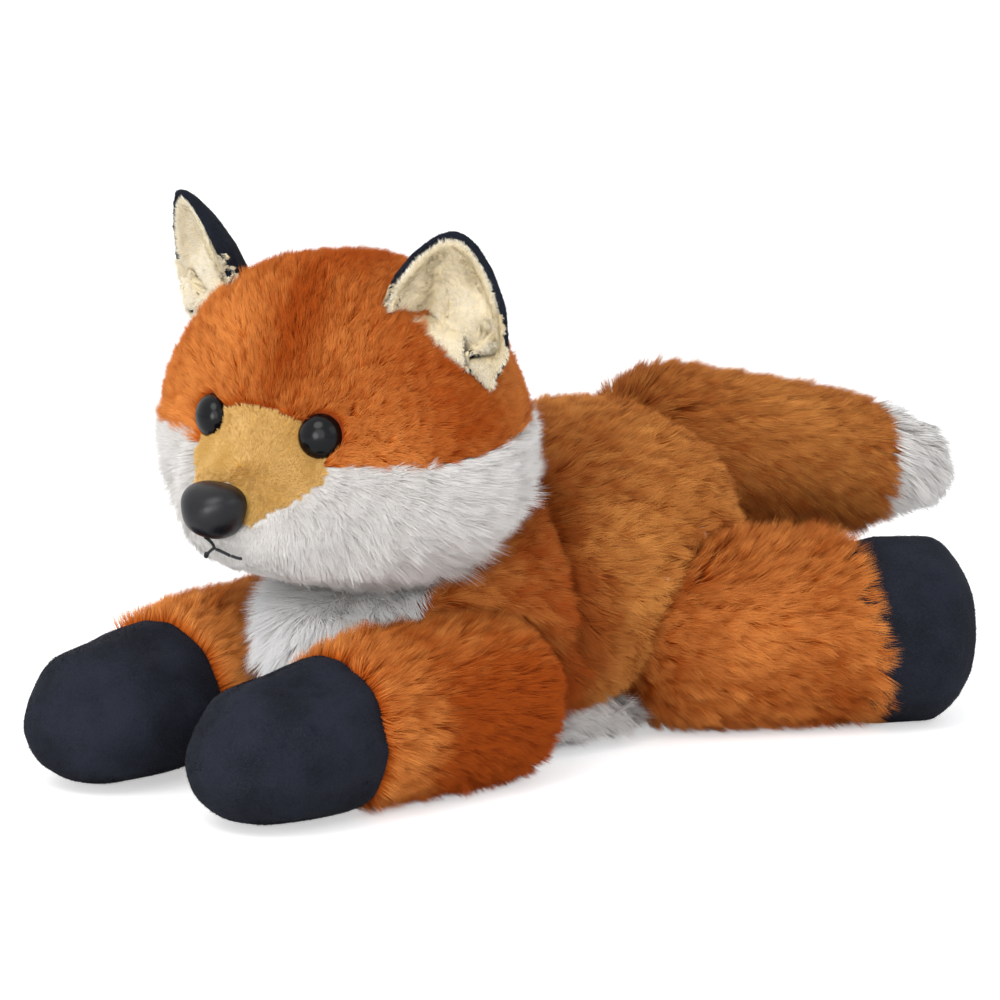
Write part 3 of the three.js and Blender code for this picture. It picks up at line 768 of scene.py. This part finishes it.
neck_front = panel(neck_cloth, "neck_front", [], lambda p: p[:, 1] < neck_seam)
neck_back = panel(neck_cloth, "neck_back", [], lambda p: p[:, 1] > neck_seam)
for colour, cloth, slot, fur, strands, long, tone, seed in (
    ("white", neck_front, "white_plush", white_fur, 16000, 8, 0.5, 18),
    ("brown", neck_back, "brown_plush", brown_fur, 20000, 7, 0.35, 19),
):
    pile(f"neck_pile_{colour}", cloth, "neck", fur, strands, even(long), neck_comb,
         even(tone), seed=seed, lift=(60, 60), clump=0.1, cover=False)
    bpy.data.objects.remove(cloth)
finish(neck_cloth, "neck_filling", "neck", brown_cloth)

# Head
# The head is stuffed hard: an orange crown, white cheeks that end in a long ruff, and a
# short tan pile on the bridge of the nose. It is turned a little to its left on the neck.
head_turn = Matrix.Rotation(math.radians(6), 3, "Z") @ Matrix.Rotation(math.radians(3), 3, "Y")
turn_array = np.array(head_turn)


def in_head(p):
    """Drawing points, in the head before it is turned."""
    return (p - neck_mid) @ turn_array + neck_mid


def from_head(x, y, z):
    return at(*(turn_array @ (drawn(x, y, z) - neck_mid) + neck_mid))


def head_way(x, y, z):
    return tuple(head_turn @ Vector((x, y, z)))


cheek_tilt = math.radians(9)
cheek_up = drawn(0, -math.sin(cheek_tilt), math.cos(cheek_tilt))
bridge_back, cheek_line = -72, 95
bridge_outline = [(9, 77), (22.5, 89.3), (21.2, 94.9), (13.5, 103), (5, 105)]  # its right half
head_cuts = [
    (from_head(0, bridge_back, cheek_line), head_way(*cheek_up)),
    (from_head(0, bridge_back, 0), head_way(0, 1, 0)),
]
for (x0, z0), (x1, z1) in zip(bridge_outline, bridge_outline[1:]):
    for side in (1, -1):
        head_cuts.append((from_head(side * x0, 0, z0), head_way(z1 - z0, 0, -side * (x1 - x0))))
head_cuts.append((from_head(0, 0, bridge_outline[0][1]), head_way(0, 0, 1)))
head_cuts.append((from_head(0, 0, bridge_outline[-1][1]), head_way(0, 0, 1)))


def on_bridge(p):
    q = in_head(p)
    half, level = (np.array(column) for column in zip(*bridge_outline))
    inside = np.abs(q[:, 0]) < np.interp(q[:, 2], level, half)
    return inside & (q[:, 2] > level[0]) & (q[:, 2] < level[-1]) & (q[:, 1] < bridge_back)


def on_cheeks(p):
    q = in_head(p)
    return ((q - drawn(0, bridge_back, cheek_line)) @ cheek_up < 0) & ~on_bridge(p)


def head_comb(p, n):
    """Away from the nose over the whole head, a little downwards on the cheeks."""
    q = in_head(p)
    way = q - drawn(0, -96, 86)
    way[:, 2] -= 34 * smooth(98, 70, q[:, 2])
    return way @ turn_array.T


def ruff_length(p, n):
    """Short on the muzzle, long where the ruff hangs over the shoulders."""
    q = in_head(p)
    back = smooth(-88, -56, q[:, 1])
    side = smooth(10, 40, np.abs(q[:, 0]))
    under = smooth(80, 66, q[:, 2]) * smooth(-88, -70, q[:, 1])
    near = smooth(12, 30, np.abs(q[:, 0]) + 1.4 * (q[:, 1] + 98))
    high = smooth(84, 96, q[:, 2])
    return 2.6 + 3.8 * near + np.maximum(4.6 * back * side * (1 - 0.8 * high), 7.6 * under)


def ruff_lift(p, n):
    """The ruff stands off the neck more than the pile on the muzzle does."""
    back = smooth(-88, -50, in_head(p)[:, 1])
    return 28 + 12 * back, 14 + 8 * back


def cheek_shade(p, n):
    """Greyer on the short pile round the mouth."""
    return 0.6 - 0.45 * smooth(-64, -84, in_head(p)[:, 1])


def crown_lift(p, n):
    """The pile stands up on the top of the head."""
    top = smooth(118, 140, in_head(p)[:, 2])
    return 36 + 14 * top, 14 + 16 * top


head_patches = patches(5, 20)


def crown_shade(p, n):
    """Redder, and darker as painted shade, down the furrow of the brow and before the ears' feet,
    where they shade the crown; browner at the top, paler on the far side.
    """
    q = in_head(p)
    x, y, z = q.T
    # partly painted shade: the brow's furrow and the crown before the ears' feet are darker in the
    # tone, and redder
    brow = np.exp(-((x - 4) / 7) ** 2) * smooth(96, 112, z)
    ear = np.exp(-((np.abs(x) - 44) ** 2 + (y + 62) ** 2 + (z - 112) ** 2) / 14 ** 2)
    top = smooth(122, 142, z)
    edge = smooth(104, 96, z) * 0.12
    far = smooth(10, -30, x) * 0.2
    return 0.5 + 0.24 * head_patches(q) - 0.35 * brow - 0.4 * ear - 0.2 * top + edge + far


russet_fur = fur_material(
    "russet_fur",
    ["#762406", "#963809", "#ab4c14"], ["#a84810", "#cb641e", "#e8944a"], specular=0.06,
)
russet_cloth = cloth_material("russet_backing", "#6b2408", "#8f3c10")
tan_pile = fur_material("tan_pile", ["#a5762f", "#c4964a"], ["#cb9b4e", "#efc883"])
tan_cloth = cloth_material("tan_velour", "#a87c38", "#cba057", bump=0.4)

head_form = stuffed_form(
    "head_form", ["head_crown", "head_cheeks", "muzzle_bridge", "head_filling"],
    voxel=0.003, swell=0.002, depth=0.0028,
    over=[name for name in frame["nodes"] if "washer" in name],
)
crown = panel(
    head_form, "head_crown_cloth", head_cuts, lambda p: ~on_cheeks(p) & ~on_bridge(p)
)
cheeks = panel(head_form, "head_cheeks_cloth", head_cuts, on_cheeks)
bridge = panel(head_form, "muzzle_bridge_cloth", head_cuts, on_bridge, seam=0.0002)

# Eyes and nose are moulded in glossy black and pressed on to stems through the cloth.
def button_front(node, facing):
    """The foremost point of a CAD button, on its own axis."""
    places = np.array([v.co[:] for v in frame["nodes"][node].data.vertices])
    height = places @ np.array(facing)
    return Vector(places[height > height.max() - 0.0004].mean(0))


def face_button(node, facing, width, height, depth, taper, material, seg=48):
    """A moulded button: a dome drawn in to a rounded rim, closed behind by a flat back."""
    facing = Vector(facing).normalized()
    base = button_front(node, facing) - facing * depth
    bpy.ops.object.select_all(action="DESELECT")
    bpy.ops.mesh.primitive_uv_sphere_add(segments=seg, ring_count=seg // 2, radius=0.5)
    button = bpy.context.object
    button.name = node + "_moulded"
    bpy.ops.object.mode_set(mode="EDIT")
    bpy.ops.mesh.select_all(action="SELECT")
    bpy.ops.mesh.bisect(
        plane_co=(0, 0, -0.12), plane_no=(0, 0, 1), clear_inner=True, use_fill=True
    )
    bpy.ops.object.mode_set(mode="OBJECT")
    co = points_of(button)
    wide = 1 + 2 * taper * co[:, 1]
    square = 2 + 2.4 * taper  # a tapered button is a rounded triangle, flatter on top
    turn = np.arctan2(co[:, 1], co[:, 0])
    fuller = (np.abs(np.cos(turn)) ** square + np.abs(np.sin(turn)) ** square) ** (-1 / square)
    co[:, :2] *= fuller[:, None]
    co *= (width, height, 2 * depth)
    co[:, 0] *= wide
    up = Vector(head_way(0, 0, 1))
    across = up.cross(facing).normalized()
    up = facing.cross(across)
    basis = np.array([across, up, facing])
    set_points(button, co @ basis + np.array(base))
    finish(button, node, "head", material)
    return base


def moulded_material(name, colour, specular, scale, smoothest, roughest):
    """Moulded plastic, whose roughness wanders; returns it with its shader and noise too."""
    material, nodes, links, shader = new_material(name)
    with_inputs(shader, Base_Color=linear(colour), Specular_IOR_Level=specular)
    haze = noise_node(nodes, links, scale)
    spread = with_inputs(nodes.new("ShaderNodeMapRange"), To_Min=smoothest, To_Max=roughest)
    links.new(haze.outputs["Fac"], spread.inputs["Value"])
    links.new(spread.outputs[0], shader.inputs["Roughness"])
    return material, shader, haze


glossy, shader, _ = moulded_material("glossy_black", "#050609", 0.35, 260, 0.12, 0.24)
with_inputs(shader, IOR=1.4)
satin, shader, pores = moulded_material("satin_black", "#090a0f", 0.4, 1500, 0.28, 0.42)
nodes, links = satin.node_tree.nodes, satin.node_tree.links
grain = with_inputs(nodes.new("ShaderNodeBump"), Strength=0.12, Distance=0.0002)
links.new(pores.outputs["Fac"], grain.inputs["Height"])
links.new(grain.outputs[0], shader.inputs["Normal"])

eye_turn, eye_width = math.radians(26), 0.0125
guard = []  # balls round the buttons that keep the pile off them
for node, side in (("eye_left", 1), ("eye_right", -1)):
    way = head_way(side * math.sin(eye_turn), -math.cos(eye_turn), 0)
    base = face_button(node, way, eye_width, eye_width, 0.005, 0, glossy)
    guard.append((base - Vector(way) * 0.0006, 0.0061))
nose_way = head_way(0, -1, 0)
nose_base = face_button("nose", nose_way, 0.018, 0.015, 0.009, 0.22, satin, seg=56)
guard.append((nose_base, 0.0076))
for side in (1, -1):
    guard.append((nose_base + Vector(head_way(side * 0.004, 0, 0.002)), 0.0064))

pile("head_crown_pile", crown, "head", russet_fur, 190000, even(5.2), head_comb,
     crown_shade, seed=21, width=0.00025, clump=0.22, wander=16, keep_out=guard, lift=crown_lift)
pile("head_cheeks_pile", cheeks, "head", white_fur, 185000, ruff_length, head_comb,
     cheek_shade, seed=22, width=0.00025, clump=0.16, keep_out=guard, lift=ruff_lift)
pile("muzzle_bridge_pile", bridge, "head", tan_pile, 40000, even(1.7), head_comb,
     lambda p, n: 0.5 + 0.2 * head_patches(p * 3), seed=23, width=0.00022, clump=0.3,
     clump_size=12, lift=(40, 40), wander=25, keep_out=guard)
finish_cloth(crown, "head_crown", "head", russet_cloth)
finish_cloth(cheeks, "head_cheeks", "head", white_cloth)
finish_cloth(bridge, "muzzle_bridge", "head", tan_cloth, 1)

# The mouth is a few stitches of black thread, pulled into the short white pile.
thread, nodes, links, shader = new_material("black_thread")
place = nodes.new("ShaderNodeTexCoord")
twist = with_inputs(nodes.new("ShaderNodeTexWave"), Scale=900)
tone = nodes.new("ShaderNodeValToRGB")
tone.color_ramp.elements[0].color = linear("#0a0a0c")
tone.color_ramp.elements[1].color = linear("#2c2c30")
links.new(place.outputs["Object"], twist.inputs["Vector"])
links.new(twist.outputs["Fac"], tone.inputs[0])
links.new(tone.outputs[0], shader.inputs["Base Color"])
with_inputs(shader, Roughness=0.75)


def on_face(x, z, lift=0.0):
    """Where the head's surface lies straight behind a point of its front view."""
    start = from_head(x, -200, z)
    hit = trees["head"].ray_cast(start, Vector(head_way(0, 1, 0)))[0]
    return hit - Vector(head_way(0, lift * mm, 0))


knot = 2  # the one stitch of thicker thread
stitches = [
    [(0, 73.2), (0.2, 71.4), (0, 69.6)],
    [(0.2, 69.9), (-2.4, 68.6), (-4.8, 66.6)],
    [(-4.2, 67.2), (-5.0, 66.4)],
    [(0.4, 69.5), (2.6, 68.9), (4.4, 68.2)],
    [(4.9, 68.3), (6.6, 67.8), (7.8, 67.9)],
]
bpy.ops.object.select_all(action="DESELECT")
for number, stitch in enumerate(stitches):
    curve = bpy.data.curves.new("stitch", "CURVE")
    curve.dimensions = "3D"
    curve.bevel_depth = 0.0007 if number == knot else 0.00042
    curve.bevel_resolution = 3
    curve.use_fill_caps = True
    spline = curve.splines.new("NURBS")
    spline.points.add(len(stitch) - 1)
    for point, (x, z) in zip(spline.points, stitch):
        point.co = (*on_face(x, z, 0.1), 1)
    spline.use_endpoint_u = True
    spline.order_u = 3
    piece = linked("mouth_stitches", curve)
    piece.select_set(True)
    bpy.context.view_layer.objects.active = piece
bpy.ops.object.convert(target="MESH")
bpy.ops.object.join()
mouth = bpy.context.object
mouth.data.materials.clear()
finish(mouth, "mouth_stitch", "head", thread)

# Ears
# An ear is a black short-pile back sewn round a cream lining, gathered into a pleat at its
# foot and bound into the crown. The lining's nap fringes over the black edge.
black_pile = fur_material("black_pile", ["#0a0b10", "#171a22"], ["#171a22", "#2c303c"])
black_cloth = cloth_material("black_velour", "#0c0e14", "#1b1f2a", bump=0.5)
cream_pile = fur_material("cream_pile", ["#b8a47b", "#d8c69e"], ["#eadfc4", "#fbf5e6"])
cream_cloth = cloth_material("cream_velour", "#c4b38d", "#e4d6b6", bump=0.4)
ear_frame = (
    Matrix.Rotation(math.radians(26), 3, "Z") @ Matrix.Rotation(math.radians(10), 3, "Y")
    @ Matrix.Rotation(math.radians(15), 3, "X")
)


def smooth_cloth(node):
    """A CAD cloth with its facets smoothed away."""
    cloth = cloth_form(node + "_cloth", [node])
    remeshed(cloth, 0.0009, 6)
    return cloth


for side, name in ((1, "left"), (-1, "right")):
    body = f"ear_{name}"
    foot = np.array(from_head(side * 37, -57, 124)) / mm + origin
    ear_turn = head_turn @ Matrix.Diagonal((side, 1, 1)) @ ear_frame
    facing = np.array(ear_turn @ Vector((0, -1, 0)))
    upward = np.array(ear_turn @ Vector((0, 0, 1)))
    outward = np.cross(upward, facing) * side
    middle = foot + upward * 12
    # the foot stays sewn to the crown and the ear would bend above it; pieces given this
    # bend are only left unattached, and its bodies and places are not read
    bend = ("head", body, at(*(foot + upward * 8)), at(*(foot + upward * 26)))

    def ear_fan(p, n, middle=middle, upward=upward):
        """Outwards from low in the ear, and up."""
        return (p - middle) + upward * 4

    def pleat(p, foot=foot, upward=upward, outward=outward):
        """Where the lining is folded in, near the ear's inner edge."""
        across, above = (p - foot) @ outward, (p - foot) @ upward
        return np.exp(-(((across + 4.5) / 1.7) ** 2)) * smooth(32, 14, above)

    # painted shade: the lining's tone is darker in the pleat and low towards the ear's foot, where
    # the fold and the cup lie in shade
    def lining_shade(p, n, pleat=pleat, foot=foot, upward=upward):
        return 0.72 - 0.6 * pleat(p) + 0.2 * smooth(10, 34, (p - foot) @ upward)

    back, lining = smooth_cloth(f"ear_{name}_back"), smooth_cloth(f"ear_{name}_lining")
    p = drawing_points(lining)
    across, above = (p - foot) @ outward, (p - foot) @ upward
    flap = smooth(-5, -8, across) * smooth(32, 8, above) * 2.4 - pleat(p) * 0.9
    flap += (3.6 - (p - foot) @ facing) * smooth(19, 11, above) * smooth(-3, 2, across) * 0.9
    set_points(lining, points_of(lining) + flap[:, None] * mm * facing)
    # the foot is drawn down into the crown, and the lining is turned down over it
    tuck, tuck_from, tuck_full = 0.004, 0.008, 0.0025
    for cloth in (back, lining):
        skin = points_of(cloth)
        for i, point in enumerate(skin):
            near, normal, _, _ = trees["head"].find_nearest(Vector(point), 0.009)
            if near is not None:
                above = (Vector(point) - near).dot(normal)
                skin[i] -= np.array(normal) * tuck * smooth(tuck_from, tuck_full, above)
        set_points(cloth, skin)

    def inward(p, n, middle=middle, facing=facing, upward=upward):
        """Faces within the black edge, and at the foot the edge as well."""
        ray = p - middle
        ray = unit(ray - (ray @ facing)[:, None] * facing)
        edge = -0.15 + 0.4 * smooth(0, -0.5, ray @ upward)
        return ((ray * n).sum(1) < edge) & (n @ facing > 0)

    turned = panel(
        back, "turned", [],
        lambda p: ((p - foot) @ facing > -0.6) & ((p - foot) @ upward < 16), 0, faces=inward,
    )
    set_points(turned, points_of(turned) + normals_of(turned) * 0.0003)
    front = joined([
        panel(lining, "front", [], everywhere, 0, faces=lambda p, n: n @ facing > 0.1),
        panel(turned, "front_foot", [], everywhere, 0),
    ])
    pile(f"ear_{name}_lining_pile", front, body, cream_pile, 34000, even(1.8),
         ear_fan, lining_shade, seed=61 + side, width=0.00022, lift=(32, 32), clump=0.1,
         wander=16, tone_spread=0.03, cover=False, bend=bend)
    pile(f"ear_{name}_back_pile", back, body, black_pile, 24000, even(1.0),
         ear_fan, even(0.4), seed=71 + side, width=0.00024, lift=(45, 45), clump=0.1,
         wander=30, cover=False, bend=bend)
    bpy.data.objects.remove(front)
    applied(turned, "SOLIDIFY", thickness=0.0006, offset=-1)
    lining = joined([lining, turned])
    finish(back, f"ear_{name}_back", body, black_cloth, bend=bend)
    finish(lining, f"ear_{name}_lining", body, cream_cloth, bend=bend)

# Legs
# Each leg is a stuffed sleeve of russet plush, sewn to a paw of dark short pile with
# pellets in it. The forelegs' plush stands up from the paw, the hind legs' lies over it.
navy_cloth = cloth_material("navy_velour", "#101219", "#232631", grain_scale=1400, bump=0.5)
navy_pile = fur_material("navy_pile", ["#101117", "#20222b"], ["#1f212a", "#3f424e"])
leg_patches = patches(9, 22)


def sewn_leg(kind, end, *, pivot, heading_deg, sleeve_length, strands, forward, long, lift,
             slant, low):
    """Both legs of a pair. forward is how far the comb runs along the leg, slant leans the
    seam back over its upper half, and low darkens its lower part away from the seam; a
    negative low lightens it instead, painted light on the hind legs' shaded lower part."""
    paw_pile, paw_overlap = 0.0018, 2
    for side, name in ((1, "left"), (-1, "right")):
        leg = f"{kind}_{name}"
        root = drawn(side * pivot[0], pivot[1], pivot[2])
        turn = math.radians(heading_deg)
        heading = drawn(side * math.sin(turn), math.cos(turn), 0)
        form = stuffed_form(
            f"{leg}_form",
            [f"{leg}_sleeve", f"{leg}_{end}", f"{leg}_filling", f"{leg}_pellet_pouch"],
            voxel=0.003, swell=0.002, depth=0.0028,
        )
        seam = root + heading * sleeve_length
        cuts = [(at(*seam), tuple(heading)), (at(*seam), tuple(heading + drawn(0, 0, slant)))]

        def past(p, before=0.0):
            along = (p - seam) @ heading + before
            return along + slant * np.maximum(p[:, 2] - seam[2], 0) > 0

        def comb(p, n):
            return forward * heading + n * 0.3 + drawn(0, 0, -0.12)

        def shade(p, n):
            along = (p - seam) @ heading
            rear = smooth(-12, -24, along) * smooth(46, 26, p[:, 2])
            fringe = smooth(-16, -4, along)
            # painted light and shade: the tone follows the normal's upward part, lighter on top and
            # darker underneath
            return 0.45 + 0.16 * leg_patches(p) + 0.28 * fringe + 0.08 * n[:, 2] - low * rear

        sleeve = panel(form, f"{leg}_sleeve_cloth", cuts, lambda p: ~past(p))
        # the paw's short pile needs less room, so its cloth is let out again
        spots = drawing_points(form)
        beyond = (spots - seam) @ heading + slant * np.maximum(spots[:, 2] - seam[2], 0)
        let_out = paw_pile * np.clip((beyond + paw_overlap) / paw_overlap, 0, 1)[:, None]
        set_points(form, points_of(form) + normals_of(form) * let_out)
        paw = panel(form, f"{leg}_{end}_cloth", [], lambda p: past(p, paw_overlap), 0)
        pile(f"{leg}_sleeve_pile", sleeve, leg, russet_fur, strands, long, comb,
             shade, seed=31 + side, droop=0.05, lift=lift, tone_spread=0.16, clump=0.34,
             clump_size=50, wander=15)
        pile(f"{leg}_{end}_pile", paw, leg, navy_pile, 36000, even(0.9),
             lambda p, n: np.tile(heading, (len(p), 1)), even(0.4), seed=41 + side, width=0.00024,
             clump=0.1, lift=(50, 50), wander=50)
        finish_cloth(sleeve, f"{leg}_sleeve", leg, russet_cloth)
        finish_cloth(paw, f"{leg}_{end}", leg, navy_cloth, 1)
        bpy.data.objects.remove(form)


def foreleg_length(p, n):
    return 8 - 3.5 * smooth(-34, -18, p[:, 1])


def hind_length(p, n):
    return 8.5 + 1.5 * smooth(36, 50, p[:, 2])


def hind_lift(p, n):
    """Ruffled on top of the thigh."""
    top = smooth(36, 50, p[:, 2])
    return 40 + 22 * top, 22 + 28 * top


sewn_leg("foreleg", "paw", pivot=(39, -34, 22.5), heading_deg=185, sleeve_length=53,
         strands=100000, forward=-0.8, long=foreleg_length, lift=(50, 34), slant=0.0, low=0.9)
sewn_leg("hind_leg", "foot", pivot=(37, 50, 27), heading_deg=37, sleeve_length=52,
         strands=125000, forward=1, long=hind_length, lift=hind_lift, slant=0.3, low=-0.15)

# Tail
# The tail is a brush: a brown sleeve and a tip of long white hair.
tail_root = drawn(3, 78, 78)
tail_way = -np.array(compass(-16, 10))
tail_seam = tail_root + tail_way * 70
tail_form = stuffed_form(
    "tail_form", ["tail_sleeve", "tail_tip", "tail_filling"], voxel=0.003, swell=0.002, depth=0.0032
)
tail_cuts = [(at(*tail_seam), tuple(tail_way))]


def on_tip(p):
    return (p - tail_seam) @ tail_way > 0


def tail_comb(p, n):
    """Along the tail, falling a little."""
    return np.tile(tail_way - drawn(0, 0, 0.12), (len(p), 1))


def tip_comb(p, n):
    """The long tip hair falls, and the end is drawn together."""
    return np.tile(tail_way - drawn(0, 0, 0.55), (len(p), 1)) - n * 0.4


def tail_lift(p, n):
    """The hair hangs away from the underside."""
    under = smooth(0.2, -0.8, n[:, 2])
    return 38 + 22 * under, 18 + 30 * under


def tail_length(p, n):
    return 9.5 + 2 * smooth(0.2, -0.8, n[:, 2])


def tail_shade(p, n):
    # painted shade: darker where the tail faces down
    return 0.5 + 0.2 * body_patches(p) - 0.12 * smooth(0.3, -0.6, n[:, 2])


tail_sleeve = panel(tail_form, "tail_sleeve_cloth", tail_cuts, lambda p: ~on_tip(p))
tail_tip = panel(tail_form, "tail_tip_cloth", tail_cuts, on_tip)
pile("tail_sleeve_pile", tail_sleeve, "tail", brown_fur, 160000, tail_length,
     tail_comb, tail_shade, seed=51, lift=tail_lift, tone_spread=0.17)
pile("tail_tip_pile", tail_tip, "tail", white_fur, 20000, even(11), tip_comb,
     even(0.5), seed=52, width=0.00034, parts=2, lift=(30, 5))
finish_cloth(tail_sleeve, "tail_sleeve", "tail", brown_cloth)
finish_cloth(tail_tip, "tail_tip", "tail", white_cloth)
for spare in (torso_form, head_form, tail_form):
    bpy.data.objects.remove(spare)

# Inside
# Fibre filling, pellet bags and the washers that hold eyes and nose are the CAD's own
# solids, out of sight inside the cloth.
pellet_bag = cloth_material("pellet_cloth", "#cfcfc8", "#e4e4de", grain_scale=1200, bump=0.3)
washer = cloth_material("washer_plastic", "#dcdcd8", "#f0f0ec", roughness=0.45, bump=0.05)
for name, node in frame["nodes"].items():
    if node.get("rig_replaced") or node.hide_render:
        continue
    inside = washer if "washer" in name else pellet_bag if "pellet" in name else fibre
    node.data.materials.clear()
    node.data.materials.append(inside)
